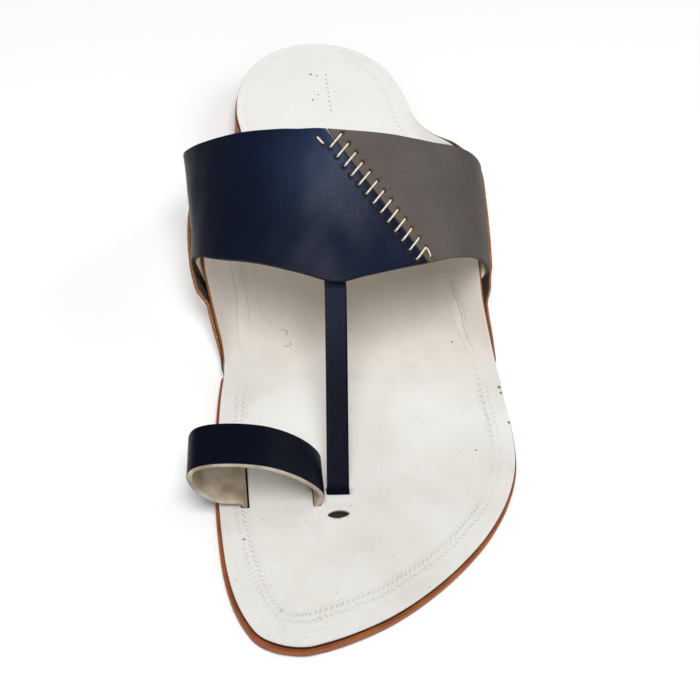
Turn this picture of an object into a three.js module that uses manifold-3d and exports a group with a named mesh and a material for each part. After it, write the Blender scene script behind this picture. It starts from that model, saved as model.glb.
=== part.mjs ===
// Kolhapuri sandal for the left foot: millimetres, +Z up, toe towards -Y, outer side towards +X.
// Leather sole in layers, a two-tone instep strap held in the side wings, a T-strap and a toe loop.
import * as THREE from 'three';
import { mergeVertices } from 'three/addons/utils/BufferGeometryUtils.js';
import Module from 'manifold-3d';

const wasm = await Module();
wasm.setup();

// ---- driving sizes ---------------------------------------------------------------------------
const GAP = 0.3;                 // clearance between neighbouring pieces
const INSOLE_THICK = 1.0;
const MIDSOLE_THICK = 0.8;       // the layer whose ears hold the instep strap
const OUTSOLE_THICK = 2.2;
const STRAP_THICK = 1.7;
const LOOP_THICK = 1.7;
const BED = OUTSOLE_THICK + MIDSOLE_THICK + INSOLE_THICK + 2 * GAP;  // insole height at the ball
const HEEL_RISE = 8.4;           // the heel stands this much higher than the ball
const RISE_START = -20;          // the sole climbs to the heel between these two sections
const RISE_END = 75;
const BREAST = 50;               // front of the heel lift
const SPRING_START = -100;       // toe spring, from this section to the toe
const TOE_SPRING = 0.6;
const WING_SLOPE = 2.4;          // rise over run of a folded-up wing
const FOLD_SPREAD = 5;           // half width of the rounded fold at a wing's foot
const NO_WING = 14;              // where no wing rises, its fold lies this far off the edge
const WELT_BALL = 0.9;           // how far the outsole stands out round the forefoot
const WELT_HEEL = 0.4;           // and round the heel
const EAR_REACH = 0.7;           // the midsole's ears reach this far past the insole's edge
const EAR_EXTRA = 0.5;           // and are this much thicker than the rest of it
const LIFT_INSET = 0.3;          // how far the heel lift stays inside the outsole
const POCKET_FRONT = -9;         // the strap's end lies in a pocket between ear and insole
const POCKET_BACK = 41;
const POCKET_FADE = 4.5;
const STRAP_INSET = 3;           // the strap's edges stay this far inside the pocket's ends
const POCKET_PLAY = 0.5;         // clearance on each side of the strap in its pocket
const ROOT_INSETS = [3.2, 1.2, -0.8];  // the strap's end, in from the insole's edge in plan
const SEAM_GAP = 0.16;           // each panel stops this far from the seam line

const table = (columns, rows) =>
  rows.map((row) => Object.fromEntries(columns.map((name, i) => [name, row[i]])));

// The insole in plan, a row for each section from toe to heel. medial and lateral are its edges,
// wingM and wingL are how high each edge is folded up above the bed.
const SECTIONS = table(['y', 'medial', 'lateral', 'wingM', 'wingL'], [
  [-138.0, -26.8, -26.8, 0, 0],
  [-137.1, -33.0, -21.6, 0, 0],
  [-134.2, -39.0, -12.2, 0, 0],
  [-129.0, -42.7, -0.4, 0, 0],
  [-121.5, -45.6, 11.4, 0, 0],
  [-112.0, -47.5, 23.0, 0, 0],
  [-101.0, -48.4, 33.4, 0, 0],
  [-88.0, -48.8, 41.9, 0, 0],
  [-75.0, -48.5, 46.7, 0, 0],
  [-60.0, -47.8, 48.3, 0, 0],
  [-46.0, -46.4, 48.1, 0, 0],
  [-34.0, -44.7, 48.2, 0.6, 0.2],
  [-26.0, -44.9, 47.6, 2.4, 1.8],
  [-18.0, -46.7, 46.4, 6.4, 5.8],
  [-11.0, -48.7, 44.8, 11.6, 11.4],
  [-4.0, -50.7, 43.8, 17.4, 17.2],
  [10.0, -51.2, 44.4, 21.0, 20.0],
  [25.0, -49.3, 45.4, 20.4, 20.2],
  [40.0, -45.3, 46.6, 17.4, 18.2],
  [54.0, -38.7, 46.6, 9.4, 13.2],
  [66.0, -34.6, 45.0, 3.0, 8.2],
  [78.0, -33.5, 39.6, 0.7, 3.4],
  [90.0, -34.6, 35.4, 0, 1.0],
  [102.0, -33.7, 34.4, 0, 0],
  [113.0, -30.7, 31.9, 0, 0],
  [123.0, -25.9, 28.3, 0, 0],
  [131.0, -18.6, 21.8, 0, 0],
  [136.4, -9.8, 13.4, 0, 0],
  [138.7, 1.6, 1.6, 0, 0],
]);

// The outer face of the instep strap, a row for each rib from the inner to the outer side:
// its point on the front edge and its point on the back edge.
const STRAP_RIBS = table(['frontX', 'frontY', 'frontZ', 'backX', 'backY', 'backZ'], [
  [-55.6, -7.6, 28.6, -55.5, 36.3, 34.4],
  [-54.0, -12.2, 35.0, -57.3, 30.6, 42.8],
  [-48.0, -18.9, 40.8, -53.0, 25.9, 50.7],
  [-36.0, -26.0, 46.2, -43.0, 20.3, 59.6],
  [-24.0, -31.3, 47.6, -34.0, 15.5, 65.5],
  [-12.0, -35.5, 47.7, -27.0, 12.1, 69.0],
  [-2.0, -33.0, 47.9, -22.5, 9.5, 71.1],
  [8.0, -30.2, 48.1, -18.3, 7.7, 72.9],
  [18.5, -27.0, 47.8, -14.0, 6.5, 73.9],
  [27.0, -21.5, 44.6, 7.0, 8.1, 71.1],
  [34.5, -15.8, 39.8, 23.0, 16.2, 61.8],
  [40.4, -10.7, 34.3, 36.0, 23.9, 53.2],
  [44.2, -7.8, 29.6, 45.4, 30.1, 43.3],
]);
const SEAM_RIB = 8;              // the row of STRAP_RIBS that the two panels meet along

// The outer face of the toe loop in section, from the inner slit over the toe to the other one.
const LOOP_SECTION = table(['x', 'z'], [
  [-42.0, 3.7], [-42.0, 4.8], [-42.9, 5.8], [-45.8, 6.2], [-49.3, 6.9], [-52.6, 8.8],
  [-55.8, 12.0], [-58.2, 16.0], [-59.2, 20.4], [-57.9, 24.0], [-54.2, 25.9], [-49.0, 26.5],
  [-43.5, 26.3], [-38.0, 25.4], [-33.5, 23.9], [-29.3, 21.8], [-25.2, 19.1], [-21.6, 16.0],
  [-18.9, 12.9], [-17.2, 9.8], [-17.1, 7.4], [-17.7, 5.6], [-18.1, 4.3], [-18.1, 3.7],
]);
const LOOP_FRONT = -89.9;
const LOOP_BACK = -74.6;
const LOOP_LEAN = 1.3;           // the loop's rear edge leans this much towards the outer side

// The T-strap seen from the side: its upper face from the slot to under the instep strap.
const TEE_SIDE = table(['y', 'z'], [
  [-85.8, 3.7], [-85.8, 4.4], [-85.4, 5.4], [-84.5, 6.4], [-82.7, 7.9], [-70.4, 17.7],
  [-58.6, 27.2], [-46.8, 36.8], [-37.0, 44.7], [-34.5, 46.8], [-30.1, 49.6], [-25.6, 52.3],
]);
const TEE_LEFT = -15.4;
const TEE_RIGHT = -8.6;
const TEE_SLOT = 2.8;
const SPARE_SLOT = { x: -12.65, y: -93.2, length: 6.9, width: 2.9 };

// ---- numbers and curves ----------------------------------------------------------------------
const { abs, acos, cos, max, min, PI, sqrt } = Math;
const lerp = THREE.MathUtils.lerp;
const smooth = THREE.MathUtils.smoothstep;
const TOE = SECTIONS[0].y;
const HEEL = SECTIONS.at(-1).y;
const LENGTH = HEEL - TOE;

// Runs from 0 at the toe to 1 at the heel, closely spaced where the outline turns round the ends.
const stationOf = (y) => acos(1 - 2 * min(max((y - TOE) / LENGTH, 0), 1)) / PI;
const yAt = (station) => TOE + LENGTH * (1 - cos(PI * station)) / 2;

function smoothColumn(column) {
  const at = SECTIONS.map((row) => stationOf(row.y));
  const value = SECTIONS.map((row) => row[column]);
  const last = at.length - 1;
  const slope = value.map((_, i) => {
    const before = max(i - 1, 0);
    const after = min(i + 1, last);
    return (value[after] - value[before]) / (at[after] - at[before]);
  });
  return (station) => {
    let i = 0;
    while (i < last - 1 && station > at[i + 1]) i += 1;
    const span = at[i + 1] - at[i];
    const t = (station - at[i]) / span;
    return (2 * t ** 3 - 3 * t ** 2 + 1) * value[i] + (t ** 3 - 2 * t ** 2 + t) * span * slope[i]
      + (3 * t ** 2 - 2 * t ** 3) * value[i + 1] + (t ** 3 - t ** 2) * span * slope[i + 1];
  };
}

const EDGE = { medial: smoothColumn('medial'), lateral: smoothColumn('lateral') };
const WING = { medial: smoothColumn('wingM'), lateral: smoothColumn('wingL') };
const OUTWARD = { medial: -1, lateral: 1 };
const OTHER = { medial: 'lateral', lateral: 'medial' };

// ---- the foot bed ----------------------------------------------------------------------------
const floorRise = (y) => HEEL_RISE * smooth(y, RISE_START, RISE_END)
  + TOE_SPRING * max(0, (SPRING_START - y) / (SPRING_START - TOE)) ** 2;

// Height of a wing at a distance outside its fold line, and the distance for a given height.
function wingHeight(run) {
  if (run <= -FOLD_SPREAD) return 0;
  if (run >= FOLD_SPREAD) return WING_SLOPE * run;
  return WING_SLOPE * (run + FOLD_SPREAD) ** 2 / (4 * FOLD_SPREAD);
}
function wingRun(height) {
  if (height >= WING_SLOPE * FOLD_SPREAD) return height / WING_SLOPE;
  const flat = NO_WING * (1 - smooth(height, 0, 0.6));
  return sqrt(max(height, 0) * 4 * FOLD_SPREAD / WING_SLOPE) - FOLD_SPREAD - flat;
}

// Distance from the middle line to the fold of a wing, on one side of the foot bed.
function foldLine(side, y) {
  const station = stationOf(y);
  return OUTWARD[side] * EDGE[side](station) - wingRun(WING[side](station));
}

// Height of the insole's upper face over a point in plan.
function bedHeight(x, y) {
  const side = x < 0 ? 'medial' : 'lateral';
  const clamped = min(max(y, TOE), HEEL);
  return BED + floorRise(clamped) + wingHeight(abs(x) - foldLine(side, clamped));
}

// A point this far under the insole's upper face, measured square to that face.
function underBed(x, y, depth) {
  const step = 0.4;
  const slopeX = (bedHeight(x + step, y) - bedHeight(x - step, y)) / (2 * step);
  const slopeY = (bedHeight(x, y + step) - bedHeight(x, y - step)) / (2 * step);
  const normal = new THREE.Vector3(-slopeX, -slopeY, 1).normalize();
  return new THREE.Vector3(x, y, bedHeight(x, y)).addScaledVector(normal, -depth);
}

// ---- outlines in plan ------------------------------------------------------------------------
function edgePoint(side, station) {
  if (station < 0) return edgePoint(OTHER[side], -station);
  if (station > 1) return edgePoint(OTHER[side], 2 - station);
  return new THREE.Vector2(EDGE[side](station), yAt(station));
}

// The insole's edge moved outward by a margin, square to the edge.
function offsetEdge(side, station, margin) {
  const step = 0.004;
  const along = edgePoint(side, station + step).sub(edgePoint(side, station - step)).normalize();
  const out = new THREE.Vector2(along.y, -along.x).multiplyScalar(OUTWARD[side]);
  return edgePoint(side, station).addScaledVector(out, margin);
}

function softMin(a, b, blend) {
  const mix = max(blend - abs(a - b), 0) / blend;
  return min(a, b) - mix * mix * blend / 4;
}

const insoleEdge = (side, station) => offsetEdge(side, station, 0);

// The ears of the midsole reach a little past the insole where they hold the strap.
function midsoleEdge(side, station) {
  const y = yAt(station);
  const ear = smooth(y, -17, -3) * (1 - smooth(y, POCKET_BACK, 86));
  return offsetEdge(side, station, lerp(0, EAR_REACH, ear));
}

// The outsole keeps to the flat of the waist, inside the folds of the wings.
function outsoleEdge(side, station) {
  const margin = lerp(WELT_BALL, WELT_HEEL, smooth(yAt(station), -20, 60));
  const point = offsetEdge(side, station, margin);
  const inFold = foldLine(side, point.y) - FOLD_SPREAD + 0.5;
  if (point.y > -60 && point.y < 96) point.x = OUTWARD[side] * softMin(abs(point.x), inFold, 3);
  return point;
}

// ---- closed shells ---------------------------------------------------------------------------
// A solid between two equal grids of points, the first of them on the side that faces out.
function shell(outer, inner) {
  const rows = outer.length;
  const columns = outer[0].length;
  const positions = [...outer.flat(), ...inner.flat()].flatMap((p) => [p.x, p.y, p.z]);
  const at = (row, column, layer) => layer * rows * columns + row * columns + column;
  const index = [];
  const quad = (a, b, c, d) => index.push(a, b, c, a, c, d);
  for (let r = 0; r < rows - 1; r += 1) {
    for (let c = 0; c < columns - 1; c += 1) {
      quad(at(r, c, 0), at(r, c + 1, 0), at(r + 1, c + 1, 0), at(r + 1, c, 0));
      quad(at(r, c, 1), at(r + 1, c, 1), at(r + 1, c + 1, 1), at(r, c + 1, 1));
    }
    quad(at(r, 0, 0), at(r + 1, 0, 0), at(r + 1, 0, 1), at(r, 0, 1));
    quad(at(r, columns - 1, 1), at(r + 1, columns - 1, 1), at(r + 1, columns - 1, 0),
      at(r, columns - 1, 0));
  }
  for (let c = 0; c < columns - 1; c += 1) {
    quad(at(0, c, 1), at(0, c + 1, 1), at(0, c + 1, 0), at(0, c, 0));
    quad(at(rows - 1, c, 0), at(rows - 1, c + 1, 0), at(rows - 1, c + 1, 1), at(rows - 1, c, 1));
  }
  return closed(positions, index);
}

// Joins equal vertices and drops the triangles that shrank to a line.
function closed(positions, index) {
  const geometry = new THREE.BufferGeometry();
  geometry.setAttribute('position', new THREE.Float32BufferAttribute(positions, 3));
  geometry.setIndex(index);
  const merged = mergeVertices(geometry, 1e-3);
  const kept = [];
  const ids = merged.index.array;
  for (let i = 0; i < ids.length; i += 3) {
    const [a, b, c] = [ids[i], ids[i + 1], ids[i + 2]];
    if (a !== b && b !== c && c !== a) kept.push(a, b, c);
  }
  merged.setIndex(kept);
  return merged;
}

function toSolid(geometry) {
  return new wasm.Manifold(new wasm.Mesh({
    numProp: 3,
    vertProperties: new Float32Array(geometry.attributes.position.array),
    triVerts: new Uint32Array(geometry.index.array),
  }));
}

function toGeometry(solid) {
  const mesh = solid.getMesh();
  return closed(Array.from(mesh.vertProperties), Array.from(mesh.triVerts));
}

// A straight-sided prism over a closed outline in plan, drawn anticlockwise.
function prism(outline, low, high) {
  const shape = new THREE.Shape(outline);
  const geometry = new THREE.ExtrudeGeometry(shape, { depth: high - low, bevelEnabled: false });
  geometry.deleteAttribute('normal');
  geometry.deleteAttribute('uv');
  geometry.translate(0, 0, low);
  return mergeVertices(geometry, 1e-3);
}

function boxSolid(x0, x1, y0, y1, z0, z1) {
  const corners = [[x0, y0], [x1, y0], [x1, y1], [x0, y1]];
  return toSolid(prism(corners.map(([x, y]) => new THREE.Vector2(x, y)), z0, z1));
}

// ---- the sole --------------------------------------------------------------------------------
// Two rows of points to each section of the table.
const STATIONS = SECTIONS.slice(1).flatMap((row, i) => {
  const before = stationOf(SECTIONS[i].y);
  const after = stationOf(row.y);
  return i === 0 ? [before, (before + after) / 2, after] : [(before + after) / 2, after];
});
const WING_INSETS = [1.4, 3.2, 5.6, 8.4, 12, 18];  // columns of points inside each edge
const FULL_HALF = 24;            // near the toe and heel tips the columns draw together

// Points in plan across one section: the layer's own edges and columns inside the insole's edge.
function sectionLine(edge, station, insets) {
  const half = (EDGE.lateral(station) - EDGE.medial(station)) / 2;
  const squeeze = min(1, half / FULL_HALF);
  const from = half > 0.01 ? insoleEdge : edge;
  const inside = (side) => insets.map((inset) => {
    const p = from(side, station);
    return p.setX(p.x - OUTWARD[side] * inset * squeeze);
  });
  const middle = from('medial', station).lerp(from('lateral', station), 0.5);
  return [edge('medial', station), ...inside('medial'), middle,
    ...inside('lateral').reverse(), edge('lateral', station)];
}

// One leather layer of the sole: an edge for its outline and the depth of its two faces.
function soleLayer(edge, insets, topDepth, bottomDepth) {
  const face = (depthAt) => STATIONS.map((station) =>
    sectionLine(edge, station, insets).map((p) => underBed(p.x, p.y, depthAt(p.x, p.y))));
  return shell(face(topDepth), face(bottomDepth));
}

// The pocket widens the joint between insole and midsole by the thickness of the strap.
function pocketDepth(x, y) {
  const side = x < 0 ? 'medial' : 'lateral';
  const fromEdge = abs(EDGE[side](stationOf(y))) - abs(x);
  const along = smooth(y, POCKET_FRONT - POCKET_FADE, POCKET_FRONT)
    * (1 - smooth(y, POCKET_BACK, POCKET_BACK + POCKET_FADE));
  const open = 1 - smooth(fromEdge, ROOT_INSETS[0] + 0.6, ROOT_INSETS[0] + 5);
  return (STRAP_THICK + 2 * POCKET_PLAY - GAP) * along * open;
}

// The folded-up ears are thicker than the flat of the midsole.
function earGrowth(x, y) {
  const side = x < 0 ? 'medial' : 'lateral';
  return EAR_EXTRA * smooth(abs(x) - foldLine(side, min(max(y, TOE), HEEL)), -3, 1);
}

const insoleTop = () => 0;
const insoleBottom = () => INSOLE_THICK;
const midsoleTop = (x, y) => INSOLE_THICK + GAP + pocketDepth(x, y);
const midsoleBottom = (x, y) => midsoleTop(x, y) + MIDSOLE_THICK + earGrowth(x, y);
const outsoleTop = () => INSOLE_THICK + MIDSOLE_THICK + 2 * GAP;
const outsoleBottom = () => outsoleTop() + OUTSOLE_THICK;

const midsole = () => soleLayer(midsoleEdge, WING_INSETS, midsoleTop, midsoleBottom);

// Slits for the toe loop and the T-strap, and the spare slot in front of it.
function insole() {
  const cut = (x0, x1, y0, y1) => boxSolid(x0 - GAP, x1 + GAP, y0 - GAP, y1 + GAP, 0, BED + 6);
  const first = LOOP_SECTION[0].x;
  const second = LOOP_SECTION.at(-1).x;
  const spare = Array.from({ length: 14 }, (_, i) => {
    const angle = 2 * PI * i / 14;
    return new THREE.Vector2(SPARE_SLOT.x + SPARE_SLOT.length / 2 * cos(angle),
      SPARE_SLOT.y + SPARE_SLOT.width / 2 * Math.sin(angle));
  });
  const whole = toSolid(soleLayer(insoleEdge, WING_INSETS, insoleTop, insoleBottom));
  return toGeometry(whole
    .subtract(cut(first, first + LOOP_THICK + 0.8, LOOP_FRONT, LOOP_BACK))
    .subtract(cut(second - LOOP_THICK, second, LOOP_FRONT, LOOP_BACK))
    .subtract(cut(TEE_LEFT, TEE_RIGHT, TEE_SIDE[0].y, TEE_SIDE[0].y + TEE_SLOT))
    .subtract(toSolid(prism(spare, 0, BED + 6))));
}

// The heel lift fills the space under the outsole, cut straight across at the breast.
function heelLift() {
  const first = stationOf(BREAST);
  const steps = 26;
  const face = (heightAt) => Array.from({ length: steps + 1 }, (_, i) => {
    const station = lerp(first, 1, i / steps);
    const line = ['medial', 'lateral'].map((side) => {
      const edge = outsoleEdge(side, station);
      const y = i === 0 ? BREAST : edge.y;
      return new THREE.Vector3(edge.x - OUTWARD[side] * LIFT_INSET, y, heightAt(y));
    });
    return i === steps ? [line[0], line[0]] : line;
  });
  return shell(face((y) => floorRise(y) - GAP), face(() => 0));
}

// ---- the straps ------------------------------------------------------------------------------
// A rib of the instep strap at a place across its width, from 0 at the front to 1 at the back.
function ribPoint(row, across) {
  const front = new THREE.Vector3(row.frontX, row.frontY, row.frontZ);
  return front.lerp(new THREE.Vector3(row.backX, row.backY, row.backZ), across);
}

// The strap's end inside the pocket, on the face that lies against the ear.
function rootPoints(side, across) {
  const y = lerp(POCKET_FRONT + STRAP_INSET, POCKET_BACK - STRAP_INSET, across);
  const depth = INSOLE_THICK + POCKET_PLAY + STRAP_THICK;
  return ROOT_INSETS.map((inset) =>
    underBed(EDGE[side](stationOf(y)) - OUTWARD[side] * inset, y, depth));
}

function strapCurve(across) {
  return new THREE.CatmullRomCurve3([
    ...rootPoints('medial', across),
    ...STRAP_RIBS.map((row) => ribPoint(row, across)),
    ...rootPoints('lateral', across).reverse(),
  ], false, 'centripetal');
}

const RIBS = STRAP_RIBS.length + 2 * ROOT_INSETS.length;
const SEAM = SEAM_RIB + ROOT_INSETS.length;

// Points on the strap's outer face and the same points moved in by its thickness.
function strapPanel(firstRib, lastRib) {
  const columns = Math.round((lastRib - firstRib) * 2.5);
  const across = [0, 0.06, 0.14, 0.24, 0.4, 0.56, 0.72, 0.88, 1];
  const outer = [];
  const inner = [];
  for (const v of across) {
    const curve = strapCurve(v);
    const curveBefore = strapCurve(v - 0.02);
    const curveAfter = strapCurve(v + 0.02);
    const faceRow = [];
    const backRow = [];
    for (let i = 0; i <= columns; i += 1) {
      const t = lerp(firstRib, lastRib, i / columns) / (RIBS - 1);
      const point = curve.getPoint(t);
      const along = curve.getPoint(min(t + 0.002, 1)).sub(curve.getPoint(max(t - 0.002, 0)));
      const over = curveAfter.getPoint(t).sub(curveBefore.getPoint(t));
      const normal = along.cross(over).normalize();
      faceRow.push(point);
      backRow.push(point.clone().addScaledVector(normal, -STRAP_THICK));
    }
    outer.push(faceRow);
    inner.push(backRow);
  }
  return shell(outer, inner);
}

// A band that follows a profile in one plane; inward is the side its thickness goes to.
function band(profile, place, ends, thick, inward) {
  const outer = [];
  const inner = [];
  profile.forEach((p, i) => {
    const next = profile[min(i + 1, profile.length - 1)];
    const before = profile[max(i - 1, 0)];
    const along = next.clone().sub(before).normalize();
    const normal = new THREE.Vector2(-along.y, along.x).multiplyScalar(inward * thick);
    outer.push(ends.map((end) => place(p, end)));
    inner.push(ends.map((end) => place(p.clone().add(normal), end)));
  });
  return shell(outer, inner);
}

function toeLoop() {
  const path = new THREE.SplineCurve(LOOP_SECTION.map((p) => new THREE.Vector2(p.x, p.z)));
  const profile = path.getSpacedPoints(48);
  const top = max(...LOOP_SECTION.map((p) => p.z));
  const place = (p, y) => {
    const back = (y - LOOP_FRONT) / (LOOP_BACK - LOOP_FRONT);
    const height = smooth(p.y, BED, top);
    return new THREE.Vector3(p.x + LOOP_LEAN * back * height, y, p.y);
  };
  return band(profile, place, [LOOP_BACK, lerp(LOOP_FRONT, LOOP_BACK, 0.5), LOOP_FRONT],
    LOOP_THICK, -1);
}

function teeStrap() {
  const profile = TEE_SIDE.map((p) => new THREE.Vector2(p.y, p.z));
  const place = (p, x) => new THREE.Vector3(x, p.x, p.y);
  return band(profile, place, [TEE_LEFT, TEE_RIGHT], STRAP_THICK, -1);
}

// The inner panel and the T-strap are one solid: they are sewn where they cross.
function upperMedial() {
  const panel = toSolid(strapPanel(0, SEAM - SEAM_GAP / 6));
  return toGeometry(panel.add(toSolid(teeStrap())));
}

const upperLateral = () => strapPanel(SEAM + SEAM_GAP / 6, RIBS - 1);

// ---- materials and assembly ------------------------------------------------------------------
const leather = (color, roughness) =>
  new THREE.MeshStandardMaterial({ color, roughness, metalness: 0 });
const WHITE = 0xe9e6df;
const TAN = 0x9c5a26;
const NAVY = 0x10192c;
const GREY = 0x6b625d;

function piece(name, geometry, material) {
  const mesh = new THREE.Mesh(geometry, material);
  mesh.name = name;
  return mesh;
}

const group = new THREE.Group();
group.add(
  piece('outsole', soleLayer(outsoleEdge, [], outsoleTop, outsoleBottom), leather(TAN, 0.6)),
  piece('heel_lift', heelLift(), leather(TAN, 0.6)),
  piece('midsole', midsole(), leather(WHITE, 0.6)),
  piece('insole', insole(), leather(WHITE, 0.7)),
  piece('upper_medial', upperMedial(), leather(NAVY, 0.45)),
  piece('upper_lateral', upperLateral(), leather(GREY, 0.7)),
  piece('toe_loop', toeLoop(), leather(NAVY, 0.45)),
);

// The origin is the middle of the sandal's footprint box, on the floor.
const bounds = new THREE.Box3().setFromObject(group);
const middle = bounds.getCenter(new THREE.Vector3());
group.position.set(-middle.x, -middle.y, -bounds.min.z);

export default group;
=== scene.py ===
"""Looks of the left kolhapuri sandal: fine leather pieces, stitches, wear, light and camera.

Lengths in the tables are millimetres in the sandal's own frame; place() turns them into metres.
"""

import math
from functools import lru_cache, reduce

import bmesh
import bpy
import numpy as np
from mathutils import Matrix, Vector


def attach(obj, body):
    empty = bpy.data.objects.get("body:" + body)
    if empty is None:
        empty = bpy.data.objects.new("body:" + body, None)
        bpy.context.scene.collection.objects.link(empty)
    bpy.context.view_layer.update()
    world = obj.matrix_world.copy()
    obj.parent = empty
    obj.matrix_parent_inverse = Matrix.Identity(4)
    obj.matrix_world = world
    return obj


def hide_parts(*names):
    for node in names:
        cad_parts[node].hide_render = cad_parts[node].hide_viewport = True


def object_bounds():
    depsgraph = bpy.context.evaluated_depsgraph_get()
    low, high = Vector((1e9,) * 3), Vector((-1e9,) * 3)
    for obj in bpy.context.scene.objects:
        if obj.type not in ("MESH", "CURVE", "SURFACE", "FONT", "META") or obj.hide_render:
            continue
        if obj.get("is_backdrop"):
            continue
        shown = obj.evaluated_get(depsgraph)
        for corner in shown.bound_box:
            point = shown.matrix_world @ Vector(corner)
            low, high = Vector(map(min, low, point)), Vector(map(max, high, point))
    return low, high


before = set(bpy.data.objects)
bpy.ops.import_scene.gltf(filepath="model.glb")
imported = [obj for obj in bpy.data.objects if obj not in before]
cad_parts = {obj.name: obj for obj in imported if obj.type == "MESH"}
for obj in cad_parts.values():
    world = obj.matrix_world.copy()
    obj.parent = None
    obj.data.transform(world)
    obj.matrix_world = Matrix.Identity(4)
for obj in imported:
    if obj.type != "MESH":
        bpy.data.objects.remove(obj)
cad_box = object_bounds()

# ---- sizes, as in the solid model but for the slots' widths and the T-strap's hidden top ----
SHIFT = np.array([3.652, -0.1, 0.0])  # from the sandal's own frame to the row's
GAP = 0.3
INSOLE_THICK = 1.0
MIDSOLE_THICK = 0.8
OUTSOLE_THICK = 2.2
STRAP_THICK = 1.7
SEAM_GAP = 0.16  # each panel stops this far from the seam line
RIB_SPACING = 6  # between two ribs of the strap beside the seam, about
LOOP_THICK = 1.7
BED = OUTSOLE_THICK + MIDSOLE_THICK + INSOLE_THICK + 2 * GAP
HEEL_RISE = 8.4
RISE_START = -20
RISE_END = 75
BREAST = 50
SPRING_START = -100
TOE_SPRING = 0.6
WING_SLOPE = 2.4
FOLD_SPREAD = 5
NO_WING = 14
WELT_BALL = 0.9
WELT_HEEL = 0.4
EAR_REACH = 0.7
EAR_EXTRA = 0.5
LIFT_INSET = 0.3
HEEL_LAYER = 2.1
POCKET_FRONT = -9
POCKET_BACK = 41
POCKET_FADE = 4.5
STRAP_INSET = 3
POCKET_PLAY = 0.5
ROOT_INSETS = [3.2, 1.2, -0.8]
FULL_HALF = 24  # insets shrink where the sole's half width is under this

# y, inner edge, outer edge, and how high each edge is folded up above the bed
SECTIONS = np.array([
    [-138.0, -26.8, -26.8, 0, 0],
    [-137.1, -33.0, -21.6, 0, 0],
    [-134.2, -39.0, -12.2, 0, 0],
    [-129.0, -42.7, -0.4, 0, 0],
    [-121.5, -45.6, 11.4, 0, 0],
    [-112.0, -47.5, 23.0, 0, 0],
    [-101.0, -48.4, 33.4, 0, 0],
    [-88.0, -48.8, 41.9, 0, 0],
    [-75.0, -48.5, 46.7, 0, 0],
    [-60.0, -47.8, 48.3, 0, 0],
    [-46.0, -46.4, 48.1, 0, 0],
    [-34.0, -44.7, 48.2, 0.6, 0.2],
    [-26.0, -44.9, 47.6, 2.4, 1.8],
    [-18.0, -46.7, 46.4, 6.4, 5.8],
    [-11.0, -48.7, 44.8, 11.6, 11.4],
    [-4.0, -50.7, 43.8, 17.4, 17.2],
    [10.0, -51.2, 44.4, 21.0, 20.0],
    [25.0, -49.3, 45.4, 20.4, 20.2],
    [40.0, -45.3, 46.6, 17.4, 18.2],
    [54.0, -38.7, 46.6, 9.4, 13.2],
    [66.0, -34.6, 45.0, 3.0, 8.2],
    [78.0, -33.5, 39.6, 0.7, 3.4],
    [90.0, -34.6, 35.4, 0, 1.0],
    [102.0, -33.7, 34.4, 0, 0],
    [113.0, -30.7, 31.9, 0, 0],
    [123.0, -25.9, 28.3, 0, 0],
    [131.0, -18.6, 21.8, 0, 0],
    [136.4, -9.8, 13.4, 0, 0],
    [138.7, 1.6, 1.6, 0, 0],
])

# each rib of the instep strap: its outer point on the front edge, then on the back edge
STRAP_RIBS = np.array([
    [-55.6, -7.6, 28.6, -55.5, 36.3, 34.4],
    [-54.0, -12.2, 35.0, -57.3, 30.6, 42.8],
    [-48.0, -18.9, 40.8, -53.0, 25.9, 50.7],
    [-36.0, -26.0, 46.2, -43.0, 20.3, 59.6],
    [-24.0, -31.3, 47.6, -34.0, 15.5, 65.5],
    [-12.0, -35.5, 47.7, -27.0, 12.1, 69.0],
    [-2.0, -33.0, 47.9, -22.5, 9.5, 71.1],
    [8.0, -30.2, 48.1, -18.3, 7.7, 72.9],
    [18.5, -27.0, 47.8, -14.0, 6.5, 73.9],
    [27.0, -21.5, 44.6, 7.0, 8.1, 71.1],
    [34.5, -15.8, 39.8, 23.0, 16.2, 61.8],
    [40.4, -10.7, 34.3, 36.0, 23.9, 53.2],
    [44.2, -7.8, 29.6, 45.4, 30.1, 43.3],
])
RIBS = len(STRAP_RIBS) + 2 * len(ROOT_INSETS)
SEAM = (8 + len(ROOT_INSETS)) / (RIBS - 1)

LOOP_SECTION = np.array([
    [-42.0, 3.7], [-42.0, 4.8], [-42.9, 5.8], [-45.8, 6.2], [-49.3, 6.9], [-52.6, 8.8],
    [-55.8, 12.0], [-58.2, 16.0], [-59.2, 20.4], [-57.9, 24.0], [-54.2, 25.9], [-49.0, 26.5],
    [-43.5, 26.3], [-38.0, 25.4], [-33.5, 23.9], [-29.3, 21.8], [-25.2, 19.1], [-21.6, 16.0],
    [-18.9, 12.9], [-17.2, 9.8], [-17.1, 7.4], [-17.7, 5.6], [-18.1, 4.3], [-18.1, 3.7],
])
LOOP_FRONT = -89.9
LOOP_BACK = -74.6
LOOP_LEAN = 1.3
TEE_SIDE = np.array([
    [-85.8, 3.7], [-85.8, 4.4], [-85.4, 5.4], [-84.5, 6.4], [-82.7, 7.9], [-70.4, 17.7],
    [-58.6, 27.2], [-46.8, 36.6], [-37.0, 43.9], [-34.5, 45.2], [-30.1, 47.2], [-25.6, 49.6],
])
TEE_LEFT = -15.4
TEE_RIGHT = -8.6
TEE_SLOT = 2.8
LOOP_PLAY = 0.4  # room beside the loop's outer leg
SPARE_SLOT = (-12.65, -93.2, 6.9, 3.3)  # x, y, length, width

# ---- curves and the shape of the foot bed ----
TOE = SECTIONS[0, 0]
HEEL = SECTIONS[-1, 0]
LENGTH = HEEL - TOE


def smooth(value, low, high):
    t = np.clip((value - low) / (high - low), 0, 1)
    return t * t * (3 - 2 * t)


def lerp(a, b, t):
    return a + (b - a) * t


def unit(vectors):
    return vectors / np.linalg.norm(vectors, axis=-1, keepdims=True)


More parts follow.
